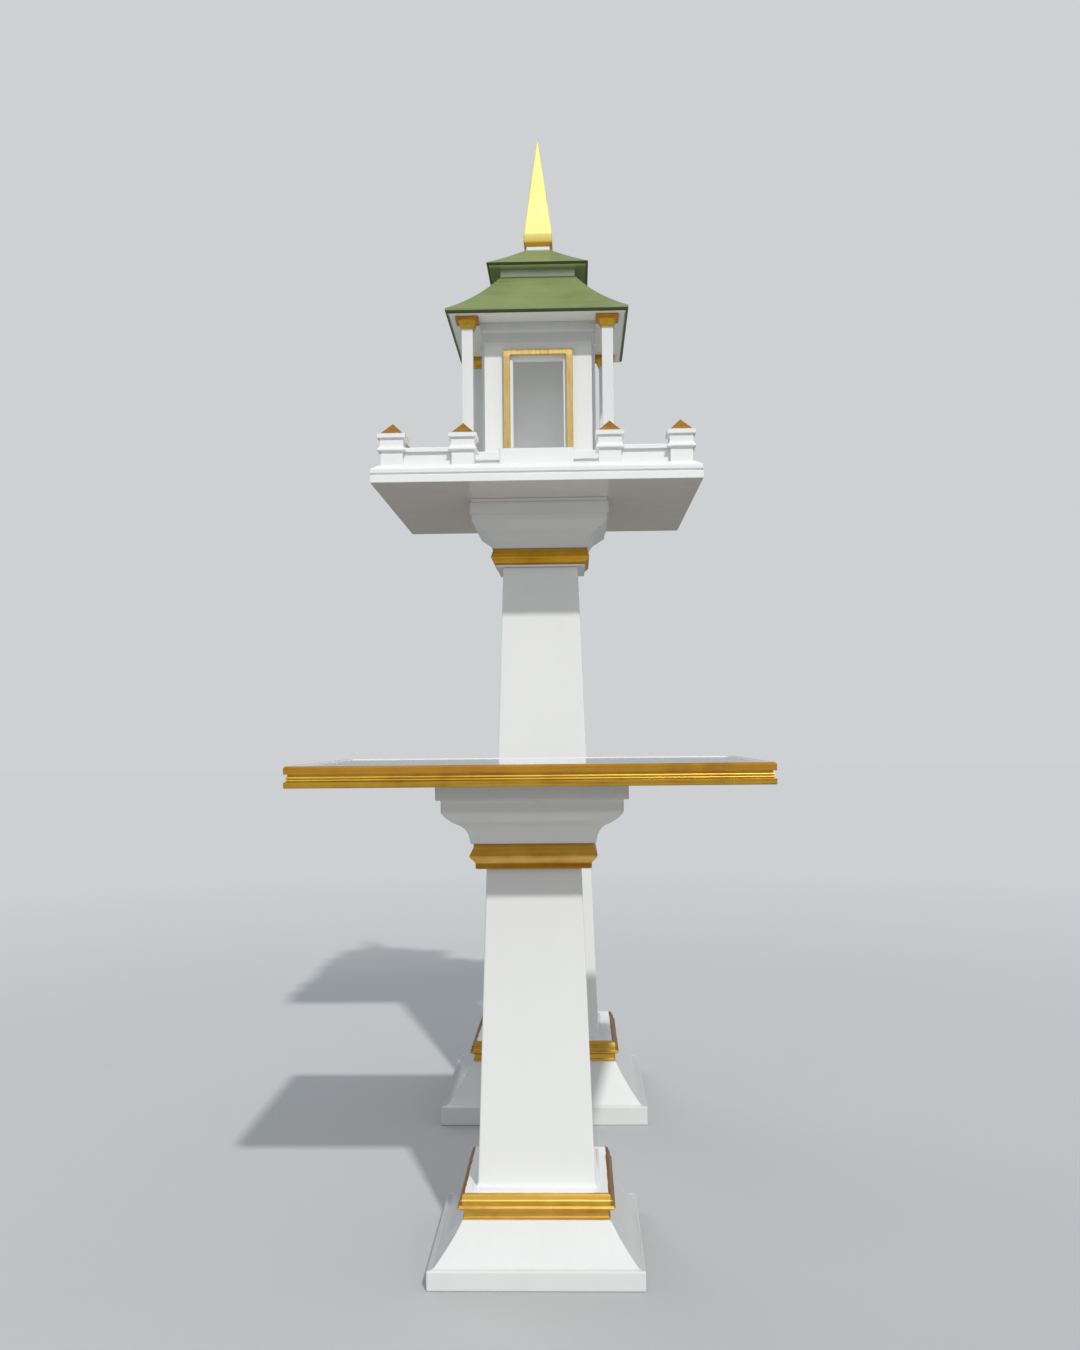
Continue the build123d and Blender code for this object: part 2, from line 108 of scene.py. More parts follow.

# Shares of a colour that are left: all of it, at the top of the walls, where it is darker as painted shade
# under the cornice, and on the sides of the feet, darker as painted shade, most of all on the shady left
WHOLE = (1.0, 1.0, 1.0)
WALL_TOP = (0.90, 0.905, 0.90)
FOOT_LEFT_SHADE = (0.63, 0.63, 0.65)
FOOT_RIGHT_SHADE = (0.79, 0.79, 0.78)

# How far below the cornice the painted shade on the walls begins, in metres
WALL_TOP_DROP = 0.016

# Gold paints: dark, middle and light tones, then the middle one's place on the ramp and the finish
# of the clear coat
NECK_GOLD = ((0.545, 0.24, 0.0125), (0.81, 0.397, 0.030), (0.99, 0.53, 0.059))
TABLE_NECK_GOLD = ((0.576, 0.272, 0.035), (0.858, 0.452, 0.084), (1.0, 0.605, 0.167))
FOOT_GOLD = ((0.52, 0.29, 0.036), (0.735, 0.44, 0.074), (0.875, 0.54, 0.125))
EDGE_GOLD = ((0.54, 0.275, 0.02), (0.87, 0.51, 0.05), (1.0, 0.697, 0.093))
CAPITAL_GOLD = ((0.46, 0.22, 0.012), (0.74, 0.425, 0.031), (0.96, 0.60, 0.060))
CAP_GOLD = ((0.34, 0.145, 0.017), (0.545, 0.265, 0.042), (0.71, 0.37, 0.075))
# The spire's tones are pale cream, a painted highlight for the sun's glint on its gold
SPIRE_GLINT_GOLD = ((0.675, 0.565, 0.143), (0.735, 0.712, 0.228), (0.775, 0.775, 0.34))
DOOR_GOLD = ((0.55, 0.358, 0.096), (0.81, 0.576, 0.211), (0.985, 0.742, 0.32))
GOLD_MIDDLE = 0.42
COAT_ROUGHNESS = 0.14

# The foot of the spire is a darker, deeper gold, a painted shade over its lowest edge, which faces down; it
# fades in between these heights
SPIRE_FOOT = (0.66, 0.35, 0.035)
SPIRE_FOOT_LOW = 0.007
SPIRE_FOOT_HIGH = 0.032

# The brown undercoat on the side runs of the foot bands: the share of the gold that is left there,
# how far in from the nose the front gold ends, and from which height
FLANK_TINT = (0.56, 0.45, 0.64)
FLANK_INSET = 0.0085
FLANK_RISE = 0.026

# White on the gold mouldings: the gold margin round a white top, how ragged its line is, how far down
# the top reaches, the white strip at the bottom of the pillar's neck band, and how rough this white is
BAND_MARGIN = 0.002
EDGE_MARGIN = 0.0035
MARGIN_WANDER = 0.0008
TOP_DEPTH = 0.004
NECK_STRIP = 0.0035
OVERPAINT_ROUGHNESS = 0.28

# Roof green: dark, middle and light tones and the middle one's place on the ramp, then the foot of the eaves,
# darker as painted shade, the highest strip, lighter as painted light over the shadow cast from above, and
# the range of roughness
ROOF_GREEN = ((0.140, 0.182, 0.056), (0.198, 0.249, 0.090), (0.236, 0.287, 0.114))
GREEN_MIDDLE = 0.35
GREEN_EDGE_SHADE = (0.042, 0.062, 0.010)
GREEN_TOP_LIT = (0.40, 0.47, 0.24)
ROOF_GLOSS = (0.40, 0.56)

# How high the painted shade at the foot of each roof's eaves reaches, and the part of that height where it
# begins to fade
EAVES_HEIGHTS = {"lower_roof": 0.0075, "upper_roof": 0.0065}
EAVES_FADE = 0.8

# How far under a roof's top the painted light of the highest strip begins, and where it is full
TOP_STRIP_LOW = 0.006
TOP_STRIP_HIGH = 0.001

# Under the eaves, painted shade and light: the rim, darker as painted shade, and its width; the strip inside
# it, paler paint made lighter still as painted light; the tones farther in, before the neck and beside it,
# darker as painted shade; and how far in these begin and are full
GREEN_RIM_SHADE = (0.045, 0.085, 0.045)
RIM_WIDTH = 0.006
GREEN_UNDERSIDE = (0.64, 0.74, 0.37)
GREEN_DEEP_SHADE = (0.38, 0.43, 0.24)
GREEN_SIDE_SHADE = (0.24, 0.29, 0.13)
DEEP_NEAR = 0.004
DEEP_FAR = 0.026

# The greenish white neck between the roofs, which darkens upwards as painted shade under the upper eaves: its
# tones, the parts of its height where they lie, how far these wander, and how rough it is
NECK_LOW = (0.66, 0.70, 0.56)
NECK_HIGH_SHADE = (0.30, 0.325, 0.25)
NECK_ENDS = (0.15, 0.85)
NECK_WANDER = 0.08
NECK_ROUGHNESS = 0.32

# Table top: its two tones, its range of roughness, and the bare board beneath
TOP_DARK = (0.60, 0.615, 0.62)
TOP_LIGHT = (0.72, 0.73, 0.73)
TOP_GLOSS = (0.07, 0.15)
TABLE_UNDERSIDE = (0.22, 0.16, 0.095)

# Grain of the paints, in cycles per metre: one number, or three for across, along and up
WHITE_PATCHES = (3.1, 3.1, 2.3)
WHITE_STROKES = (34.0, 34.0, 3.0)
WHITE_SPECKS = 70.0
TROWEL_WAVES = (8.0, 8.0, 5.0)
BRUSH_MARKS = (160.0, 160.0, 14.0)
LEVEL_STREAKS = (5.0, 5.0, 260.0)
SHORT_STREAKS = (40.0, 40.0, 160.0)
SPIRE_STREAKS = (90.0, 90.0, 5.0)
DOOR_STREAKS = (260.0, 60.0, 14.0)
GOLD_PATCHES = 22.0
GOLD_SPECKS = 300.0
MARGIN_GRAIN = 38.0
ROOF_STROKES = (6.0, 6.0, 190.0)
ROOF_PATCHES = 9.0
ROOF_SPECKS = 260.0
ROOF_WAVES = 14.0
NECK_CLOUDS = (18.0, 18.0, 6.0)
NECK_SPECKS = 60.0
TOP_CLOUDS = 7.0
TOP_VEINS = 26.0
TOP_WAVES = 5.0
FLOOR_CLOUDS = 2.0

# How high these marks stand, in metres
TROWEL_RISE = 0.0012
BRUSH_RISE = 0.00005
STREAK_RISE = 0.00018
SPECK_RISE = 0.00003
EDGE_STREAK_RISE = 0.00004
EDGE_SPECK_RISE = 0.00001
ROOF_STROKE_RISE = 0.0003
ROOF_SPECK_RISE = 0.00025
ROOF_WAVE_RISE = 0.0012
NECK_SPECK_RISE = 0.0002
TOP_WAVE_RISE = 0.0006

# Part of each tone that these marks make, where two kinds are mixed
WHITE_STROKE_SHARE = 0.3
GOLD_PATCH_SHARE = 0.38
ROOF_PATCH_SHARE = 0.5
TOP_VEIN_SHARE = 0.3

# Ranges of noise that the tones and the gloss are stretched over
TONE_SPAN = (0.34, 0.66)
TOP_SPAN = (0.36, 0.64)
GLOSS_SPAN = (0.3, 0.7)

# How the paint deepens or lightens with height on a piece, as painted shade and painted light: bands from one
# part of the height to another, with the share of the colour that is left, as one number or as three; it
# slides from one band to the next
# Painted shade on the pillar's neck band: darker at its foot, above its nose and at its top
PILLAR_NECK_BANDS = (
    (0.00, 0.19, (0.62, 0.64, 0.80)),
    (0.25, 0.50, 1.0),
    (0.53, 0.87, (0.785, 0.826, 0.76)),
    (0.89, 1.00, (0.70, 0.70, 0.80)),
)
# Painted shade on the table's neck band, darker at its foot and top; the slope between is yellower
TABLE_NECK_BANDS = (
    (0.00, 0.215, (0.58, 0.47, 0.10)),
    (0.25, 0.50, (0.90, 1.0, 1.0)),
    (0.53, 0.87, (1.0, 1.0, 0.60)),
    (0.89, 1.00, (0.625, 0.565, 0.22)),
)
# The table's edge: its beads keep the full gold as painted highlights, with painted shade in the grooves and
# on the lower halves of the beads; its lips take a darker share
TABLE_EDGE_BANDS = (
    (0.00, 0.27, (0.63, 0.56, 0.36)),
    (0.285, 0.33, (0.56, 0.54, 0.45)),
    (0.345, 0.40, (0.80, 0.85, 1.0)),
    (0.41, 0.445, (0.58, 0.58, 0.50)),
    (0.455, 0.535, 1.0),
    (0.545, 0.625, (0.90, 0.85, 0.75)),
    (0.64, 1.00, (0.63, 0.50, 0.29)),
)
# The column capitals are darker in lines across the block and darkest at the top, a painted shade under the
# soffit
COLUMN_CAPITAL_BANDS = (
    (0.00, 0.55, 1.0),
    (0.68, 0.68, (0.84, 0.74, 0.90)),
    (0.72, 0.72, (0.70, 0.55, 0.80)),
    (0.86, 0.86, (0.84, 0.70, 0.90)),
    (0.95, 1.00, (0.50, 0.42, 0.60)),
)
# Painted shade on the pillar's capital, darkest at the foot of the ogee, and painted light on the bed at its
# top, in the shaded crevice under the slab
PILLAR_CAPITAL_BANDS = ((0.00, 0.15, 0.76), (0.40, 0.915, 0.83), (0.93, 1.00, 1.0))
# A warm painted light, as if thrown up from warm ground, on the lowest faces of the slab
SLAB_BANDS = ((0.00, 0.004, (0.914, 0.84, 0.79)), (0.008, 1.00, 1.0))
# Painted light on the door frame's top bar, which stays lighter than the rest, standing in for sun that the
# eaves' shadow takes from it
DOOR_FRAME_BANDS = ((0.00, 0.925, 0.775), (0.94, 1.00, 1.0))
# Painted shade on the cornice, over its cove and its top bands, with a lighter line between them
CORNICE_BANDS = (
    (0.00, 0.00, 0.93),
    (0.24, 0.24, 0.86),
    (0.46, 0.46, 0.83),
    (0.52, 0.60, 1.0),
    (0.66, 0.77, 0.95),
    (0.78, 1.00, 0.92),
)

# How far the corners of each node are softened, in metres; the others have the small edge, and the
# walls stay flush with each other
SOFT_EDGES = {
    "pillar_foot": 0.0025,
    "pillar": 0.0025,
    "pillar_capital": 0.0018,
    "platform_slab": 0.0015,
    "house_plinth": 0.002,
    "doorstep": 0.002,
    "lower_roof": 0.0006,
    "upper_roof": 0.0006,
    "roof_neck": 0.0003,
    "pillar_neck_band": 0.002,
    "table_neck_band": 0.002,
    "table_foot": 0.0025,
    "table_column": 0.0025,
    "table_capital": 0.0018,
    "table_edge": 0.0007,
    "spire": 0.0008,
    "house_cornice": 0.0008,
}
SMALL_EDGE = 0.001
SOFT_ANGLE = math.radians(28)
MERGE_DISTANCE = 0.00001
FACE_WEIGHT = 80

# Corners that are rounded in the shading alone, in metres
WALL_ROUNDING = 0.0012
CAPITAL_ROUNDING = 0.006
SPIRE_ROUNDING = 0.005

# Trowelled fillets: name, shaft and size, how far they sink in, their steps, and what counts as a corner
COVES = (("pillar_cove", "pillar", 0.008), ("table_column_cove", "table_column", 0.009))
COVE_SUNK = 0.0004
COVE_STEPS = 5
COVE_ANGLE = math.radians(40)

# What counts as lying on a face, in metres
SKIN = 0.0005
ROOF_SKIN = 0.0003
MESH_SKIN = 0.0001


def socket(sockets, identifier):
    """The socket of a node that has this identifier."""
    return next(s for s in sockets if s.identifier == identifier)


def three(value):
    """Three numbers: the value's own, or one number for all."""
    return value if isinstance(value, tuple) else (value,) * 3


class Nodes:
    """Short calls that add nodes to a tree."""

    def __init__(self, tree):
        self.tree = tree
        tree.nodes.clear()

    def add(self, kind):
        return self.tree.nodes.new(kind)

    def link(self, start, end):
        self.tree.links.new(start, end)

    def fill(self, target, value):
        """Link a socket to the target, or set the target's own value."""
        if isinstance(value, bpy.types.NodeSocket):
            self.link(value, target)
        elif isinstance(value, tuple):
            target.default_value = (*value, 1.0)
        else:
            target.default_value = value

    def math(self, kind, first, second=0.0):
        node = self.add("ShaderNodeMath")
        node.operation = kind
        self.fill(node.inputs[0], first)
        self.fill(node.inputs[1], second)
        return node.outputs[0]

    def mix(self, factor, first, second, kind="MIX"):
        """A colour between the first and the second."""
        node = self.add("ShaderNodeMix")
        node.data_type = "RGBA"
        node.blend_type = kind
        self.fill(socket(node.inputs, "Factor_Float"), factor)
        self.fill(socket(node.inputs, "A_Color"), first)
        self.fill(socket(node.inputs, "B_Color"), second)
        return socket(node.outputs, "Result_Color")

    def times(self, first, second):
        """Two colours multiplied."""
        return self.mix(1.0, first, second, "MULTIPLY")

    def blend(self, factor, first, second):
        """A number between the first and the second."""
        node = self.add("ShaderNodeMix")
        node.data_type = "FLOAT"
        self.fill(socket(node.inputs, "Factor_Float"), factor)
        self.fill(socket(node.inputs, "A_Float"), first)
        self.fill(socket(node.inputs, "B_Float"), second)
        return socket(node.outputs, "Result_Float")

    def either(self, factor, first, second):
        """The first shader where the factor is 0, the second where it is 1."""
        node = self.add("ShaderNodeMixShader")
        self.fill(node.inputs["Fac"], factor)
        self.link(first, node.inputs[1])
        self.link(second, node.inputs[2])
        return node.outputs["Shader"]


class Paint(Nodes):
    """One material, and calls that add nodes to it by the place on the object."""

    def __init__(self, name):
        self.material = bpy.data.materials.new(name)
        self.material.use_nodes = True
        super().__init__(self.material.node_tree)
        self.shader = self.add("ShaderNodeBsdfPrincipled")
        self.output = self.add("ShaderNodeOutputMaterial").inputs["Surface"]
        self.link(self.shader.outputs["BSDF"], self.output)
        self.place = self.add("ShaderNodeTexCoord").outputs["Object"]
        axes = self.add("ShaderNodeSeparateXYZ")
        self.link(self.place, axes.inputs["Vector"])
        self.axes = axes.outputs
        self.level = self.axes[2]

    def noise(self, grain, detail=3.0, rough=0.55, distortion=0.0):
        """Noise with this grain, in cycles per metre."""
        mapping = self.add("ShaderNodeMapping")
        mapping.inputs["Scale"].default_value = three(grain)
        self.link(self.place, mapping.inputs["Vector"])
        texture = self.add("ShaderNodeTexNoise")
        texture.inputs["Scale"].default_value = 1.0
        texture.inputs["Detail"].default_value = detail
        texture.inputs["Roughness"].default_value = rough
        texture.inputs["Distortion"].default_value = distortion
        self.link(mapping.outputs["Vector"], texture.inputs["Vector"])
        return texture.outputs["Fac"]

    def remap(self, value, span, result=(0.0, 1.0)):
        """The value's span, stretched to the result's and clamped."""
        node = self.add("ShaderNodeMapRange")
        self.link(value, node.inputs["Value"])
        node.inputs["From Min"].default_value, node.inputs["From Max"].default_value = span
        node.inputs["To Min"].default_value, node.inputs["To Max"].default_value = result
        return node.outputs["Result"]

    def tones(self, value, stops):
        """Colours along a ramp, each stop a place and a colour."""
        ramp = self.add("ShaderNodeValToRGB")
        elements = ramp.color_ramp.elements
        while len(elements) < len(stops):
            elements.new(0.5)
        for element, (position, colour) in zip(elements, stops):
            element.position = position
            element.color = (*three(colour), 1.0)
        self.link(value, ramp.inputs["Fac"])
        return ramp.outputs["Color"]

    def banded(self, colour, node, bands):
        """The colour, with painted shade and light in bands of height on this node."""
        low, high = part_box(node)
        part = self.remap(self.level, (low.z, high.z))
        stops = [(place, share) for start, end, share in bands for place in sorted({start, end})]
        return self.times(colour, self.tones(part, stops))

    def from_middle(self, centre):
        """How far the place lies from this centre, across and along the object."""
        return tuple(
            self.math("ABSOLUTE", self.math("SUBTRACT", self.axes[axis], centre[axis])) for axis in (0, 1)
        )

    def bump(self, layers, rounding=0.0):
        """Bumps one over another, each a height and how high it stands, in metres."""
        normal = None
        if rounding:
            edge = self.add("ShaderNodeBevel")
            edge.samples = 4
            edge.inputs["Radius"].default_value = rounding
            normal = edge.outputs["Normal"]
        for height, distance in layers:
            node = self.add("ShaderNodeBump")
            node.inputs["Strength"].default_value = 1.0
            node.inputs["Distance"].default_value = distance
            self.link(height, node.inputs["Height"])
            if normal:
                self.link(normal, node.inputs["Normal"])
            normal = node.outputs["Normal"]
        self.link(normal, self.shader.inputs["Normal"])

    def cover(self, colour, roughness, metallic=0.0):
        """Give the surface its colour and finish."""
        self.fill(self.shader.inputs["Base Color"], colour)
        self.fill(self.shader.inputs["Roughness"], roughness)
        self.fill(self.shader.inputs["Metallic"], metallic)


def plan(node):
    """Centre of a node's box in plan, and half its size across and along."""
    low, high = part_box(node)
    centre = ((low.x + high.x) / 2, (low.y + high.y) / 2)
    return centre, ((high.x - low.x) / 2, (high.y - low.y) / 2)


def top_of(node, margin):
    """Centre, half size, top level and painted margin of a moulding's level top."""
    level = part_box(node)[1].z
    # The top face is smaller than the nose, so its own corners are read from the mesh
    points = [v.co for v in frame["nodes"][node].data.vertices if v.co.z > level - MESH_SKIN]
    xs = [p.x for p in points]
    ys = [p.y for p in points]
    centre = ((min(xs) + max(xs)) / 2, (min(ys) + max(ys)) / 2)
    half = ((max(xs) - min(xs)) / 2, (max(ys) - min(ys)) / 2)
    return centre, half, level, margin


def flank_of(node):
    """How far out the front gold of a foot band ends, and the level from which it does."""
    return plan(node)[1][0] - FLANK_INSET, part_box(node)[0].z + FLANK_RISE


def room_of_house():
    """The room: within the outer faces of the front walls and the inner faces of the others."""
    rear_low, rear_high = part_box("rear_wall")
    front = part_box("front_wall_left")[0].y
    low = (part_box("left_wall")[1].x - SKIN, front + SKIN, rear_low.z - SKIN)
    high = (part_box("right_wall")[0].x + SKIN, rear_low.y + SKIN, rear_high.z + SKIN)
    return low, high


def white_tone(paint, tones=WHITE):
    """Brushed white enamel: soft patches where the coats overlap."""
    patches = paint.noise(WHITE_PATCHES, detail=4.0)
    strokes = paint.noise(WHITE_STROKES, detail=2.0)
    mixed = paint.blend(WHITE_STROKE_SHARE, patches, strokes)
    return paint.mix(paint.remap(mixed, TONE_SPAN), *tones)


def within(paint, room):
    """1 inside the room, 0 elsewhere."""
    inside = None
    for value, low, high in zip(paint.axes, *room):
        for kind, limit in (("GREATER_THAN", low), ("LESS_THAN", high)):
            side = paint.math(kind, value, limit)
            inside = side if inside is None else paint.math("MULTIPLY", inside, side)
    return inside


def painted_shade_sides(paint, colour, centre):
    """The colour, darkened as painted shade on the left and right faces of a foot with this centre."""
    across, along = paint.from_middle(centre)
    side_run = paint.math("GREATER_THAN", across, along)
    left = paint.math("LESS_THAN", paint.axes[0], centre[0])
    share = paint.mix(left, FOOT_RIGHT_SHADE, FOOT_LEFT_SHADE)
    return paint.times(colour, paint.mix(side_run, WHOLE, share))


def white_paint(name, tones=WHITE, rounding=0.0, room=None, bands=None, dull_above=None, foot_centre=None):
    """Gloss white paint over trowelled cement; within the room it is flatter and lighter, as painted light.

    bands is a node, and the painted shade and light by height on it.
    From dull_above the paint darkens upwards as painted shade, over the height WALL_TOP_DROP.
    foot_centre is the centre of a foot, whose left and right faces are darkened as painted shade.
    """
    paint = Paint(name)
    colour = white_tone(paint, tones)
    if dull_above is not None:
        high = paint.remap(paint.level, (dull_above, dull_above + WALL_TOP_DROP))
        colour = paint.times(colour, paint.mix(high, WHOLE, WALL_TOP))
    if bands:
        colour = paint.banded(colour, *bands)
    if foot_centre:
        colour = painted_shade_sides(paint, colour, foot_centre)
    gloss = paint.remap(paint.noise(WHITE_SPECKS, detail=5.0, rough=0.6), GLOSS_SPAN, WHITE_GLOSS)
    if room:
        inside = within(paint, room)
        colour = paint.mix(inside, colour, ROOM_WHITE_LIT)
        gloss = paint.blend(inside, gloss, ROOM_ROUGHNESS)
        specular = paint.blend(inside, PLAIN_SPECULAR, ROOM_SPECULAR)
        paint.link(specular, paint.shader.inputs["Specular IOR Level"])
    paint.cover(colour, gloss)
    trowel = paint.noise(TROWEL_WAVES, detail=2.0, rough=0.4)
    brush = paint.noise(BRUSH_MARKS, detail=2.0)
    paint.bump([(trowel, TROWEL_RISE), (brush, BRUSH_RISE)], rounding)
    return paint.material


def brown_flanks(paint, colour, centre, flank):
    """The colour, brown on a foot band's side runs and on their ends beyond the front gold."""
    across, along = paint.from_middle(centre)
    side_run = paint.math("GREATER_THAN", across, along)
    beyond = paint.math("GREATER_THAN", across, flank[0])
    end = paint.math("MULTIPLY", beyond, paint.math("GREATER_THAN", paint.level, flank[1]))
    brown = paint.math("MAXIMUM", side_run, end)
    return paint.times(colour, paint.mix(brown, WHOLE, FLANK_TINT))


def top_mask(paint, centre, half, level, margin):
    """1 on a moulding's level top, inside a margin with a ragged line."""
    across, along = paint.from_middle(centre)
    inset = paint.math(
        "MINIMUM", paint.math("SUBTRACT", half[0], across), paint.math("SUBTRACT", half[1], along)
    )
    ragged = paint.remap(paint.noise(MARGIN_GRAIN, detail=2.0), GLOSS_SPAN, (-MARGIN_WANDER, MARGIN_WANDER))
    inside = paint.math("GREATER_THAN", paint.math("ADD", inset, ragged), margin)
    return paint.math("MULTIPLY", inside, paint.math("GREATER_THAN", paint.level, level - TOP_DEPTH))


def gold_paint(
    name,
    tones,
    streaks=LEVEL_STREAKS,
    metallic=0.72,
    roughness=(0.36, 0.50),
    evenness=0.0,
    rounding=0.0,
    coat=0.0,
    deep_foot=None,
    bands=None,
    white_top=None,
    white_below=None,
    flank=None,
    streak_rise=STREAK_RISE,
    speck_rise=SPECK_RISE,
):
    """Gold paint, brushed on by hand: streaks along the moulding and thin places between them.

    deep_foot is a low level, a high level and the darker colour that the low end takes, a painted shade.
    bands is a node, and the painted shade and light by height on it.
    white_top keeps a moulding's level top white, and below the level white_below it is white too.
    flank is how far out the front gold ends, and the level from which it does; the side runs are brown.
    """
    paint = Paint(name)
    streak = paint.noise(streaks, detail=5.0, rough=0.62)
    mixed = paint.blend(GOLD_PATCH_SHARE, streak, paint.noise(GOLD_PATCHES))
    spread = paint.remap(mixed, (TONE_SPAN[0] - evenness, TONE_SPAN[1] + evenness))
    colour = paint.tones(spread, list(zip((0.0, GOLD_MIDDLE, 1.0), tones)))
    gloss = paint.remap(spread, (0.0, 1.0), (roughness[1], roughness[0]))
    if bands:
        colour = paint.banded(colour, *bands)
    if deep_foot:
        low = paint.remap(paint.level, deep_foot[:2], (1.0, 0.0))
        colour = paint.mix(low, colour, deep_foot[2])
    if flank:
        colour = brown_flanks(paint, colour, white_top[0], flank)
    if white_top or white_below is not None:
        mask = top_mask(paint, *white_top) if white_top else paint.math("LESS_THAN", paint.level, white_below)
        colour = paint.mix(mask, colour, white_tone(paint))
        gloss = paint.blend(mask, gloss, OVERPAINT_ROUGHNESS)
        metallic = paint.blend(mask, metallic, 0.0)
    paint.cover(colour, gloss, metallic)
    paint.shader.inputs["Coat Weight"].default_value = coat
    paint.shader.inputs["Coat Roughness"].default_value = COAT_ROUGHNESS
    specks = paint.noise(GOLD_SPECKS, detail=2.0)
    paint.bump([(streak, streak_rise), (specks, speck_rise)], rounding)
    return paint.material


def green_paint(name, node, eaves_height, neck_half):
    """Satin olive paint on a roof: painted shade at the foot and rim of the eaves, painted light on the
    highest strip, paler under the eaves.

    Under the eaves it is lightest near the front, partly as painted light, and darkens inwards as painted
    shade, most of all beside the neck, whose half width is neck_half.
    """
    paint = Paint(name)
    low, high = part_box(node)
    strokes = paint.noise(ROOF_STROKES, detail=4.0, rough=0.6)
    patches = paint.noise(ROOF_PATCHES, detail=4.0)
    spread = paint.remap(paint.blend(ROOF_PATCH_SHARE, strokes, patches), TONE_SPAN)
    colour = paint.tones(spread, list(zip((0.0, GREEN_MIDDLE, 1.0), ROOF_GREEN)))
    # Painted shade at the foot of the eaves
    eaves = (low.z + EAVES_FADE * eaves_height, low.z + eaves_height)
    colour = paint.mix(paint.remap(paint.level, eaves, (1.0, 0.0)), colour, GREEN_EDGE_SHADE)
    # Painted light on the highest strip, over the shadow cast from above
    top_strip = (high.z - TOP_STRIP_LOW, high.z - TOP_STRIP_HIGH)
    colour = paint.mix(paint.remap(paint.level, top_strip), colour, GREEN_TOP_LIT)
    centre, half = plan(node)
    across, along = paint.from_middle(centre)
    from_side = paint.math("SUBTRACT", half[0], across)
    from_front = paint.math("SUBTRACT", half[1], along)
    beside = paint.math("GREATER_THAN", across, neck_half)
    inwards = paint.remap(from_front, (DEEP_NEAR, DEEP_FAR))
    # Under the eaves: painted light near the front, painted shade farther in and beside the neck
    underside_light_and_shade = paint.mix(inwards, GREEN_UNDERSIDE, paint.mix(beside, GREEN_DEEP_SHADE, GREEN_SIDE_SHADE))
    past_rim = paint.math("GREATER_THAN", paint.math("MINIMUM", from_side, from_front), RIM_WIDTH)
    under = paint.math("LESS_THAN", paint.level, low.z + ROOF_SKIN)
    colour = paint.mix(under, colour, paint.mix(past_rim, GREEN_RIM_SHADE, underside_light_and_shade))
    paint.cover(colour, paint.remap(patches, GLOSS_SPAN, ROOF_GLOSS))
    specks = paint.noise(ROOF_SPECKS)
    waves = paint.noise(ROOF_WAVES)
    paint.bump([(strokes, ROOF_STROKE_RISE), (specks, ROOF_SPECK_RISE), (waves, ROOF_WAVE_RISE)])
    return paint.material


def neck_paint(name, node):
    """Greenish white between the roofs, darker towards the upper eaves as painted shade."""
    paint = Paint(name)
    low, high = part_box(node)
    level = paint.remap(paint.level, (low.z, high.z))
    wander = paint.remap(paint.noise(NECK_CLOUDS), GLOSS_SPAN, (-NECK_WANDER, NECK_WANDER))
    colour = paint.tones(paint.math("ADD", level, wander), list(zip(NECK_ENDS, (NECK_LOW, NECK_HIGH_SHADE))))
    paint.cover(colour, NECK_ROUGHNESS)
    paint.bump([(paint.noise(NECK_SPECKS), NECK_SPECK_RISE)])
    return paint.material


def polished_top(name, node):
    """Pale polished top with a very faint cloudiness, and bare board beneath."""
    paint = Paint(name)
    clouds = paint.noise(TOP_CLOUDS, detail=6.0, rough=0.62, distortion=0.4)
    veins = paint.noise(TOP_VEINS, detail=4.0, rough=0.6, distortion=1.2)
    spread = paint.remap(paint.blend(TOP_VEIN_SHARE, clouds, veins), TOP_SPAN)
    colour = paint.mix(spread, TOP_DARK, TOP_LIGHT)
    beneath = paint.math("LESS_THAN", paint.level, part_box(node)[0].z + SKIN)
    colour = paint.mix(beneath, colour, TABLE_UNDERSIDE)
    paint.cover(colour, paint.remap(veins, GLOSS_SPAN, TOP_GLOSS))
    paint.bump([(paint.noise(TOP_WAVES), TOP_WAVE_RISE)])
    return paint.material


def white_paints():
    """The white paint of each node that isn't the plain one."""
    room = room_of_house()
    cornice_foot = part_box("house_cornice")[0].z
    # The walls darken under the cornice as painted shade, and the room is lighter as painted light
    walls = white_paint(
        "white_enamel_walls",
        WALL_WHITE,
        rounding=WALL_ROUNDING,
        room=room,
        dull_above=cornice_foot - WALL_TOP_DROP,
    )
    shaft = white_paint("shaft_enamel", SHAFT_WHITE)
    column = white_paint("column_enamel", COLUMN_WHITE)
    paints = {node: walls for node in frame["nodes"] if "wall" in node}
    paints |= {"pillar": shaft, "table_column": shaft, "front_columns": column, "rear_columns": column}
    paints["roof_soffit"] = white_paint("soffit_enamel", SOFFIT_WHITE_LIT)
    paints["house_cornice"] = white_paint(
        "cornice_enamel", CORNICE_WHITE_SHADED, bands=("house_cornice", CORNICE_BANDS)
    )
    paints["house_plinth"] = white_paint("plinth_enamel", room=room)
    paints["table_capital"] = white_paint("capital_enamel", rounding=CAPITAL_ROUNDING)
    paints["pillar_capital"] = white_paint(
        "pillar_capital_enamel",
        PILLAR_CAPITAL_WHITE,
        rounding=CAPITAL_ROUNDING,
        bands=("pillar_capital", PILLAR_CAPITAL_BANDS),
    )
    paints["platform_slab"] = white_paint("slab_enamel", bands=("platform_slab", SLAB_BANDS))
    for foot in ("pillar_foot", "table_foot"):
        paints[foot] = white_paint(foot + "_enamel", FOOT_WHITE_SHADED, foot_centre=plan(foot)[0])
    return paints


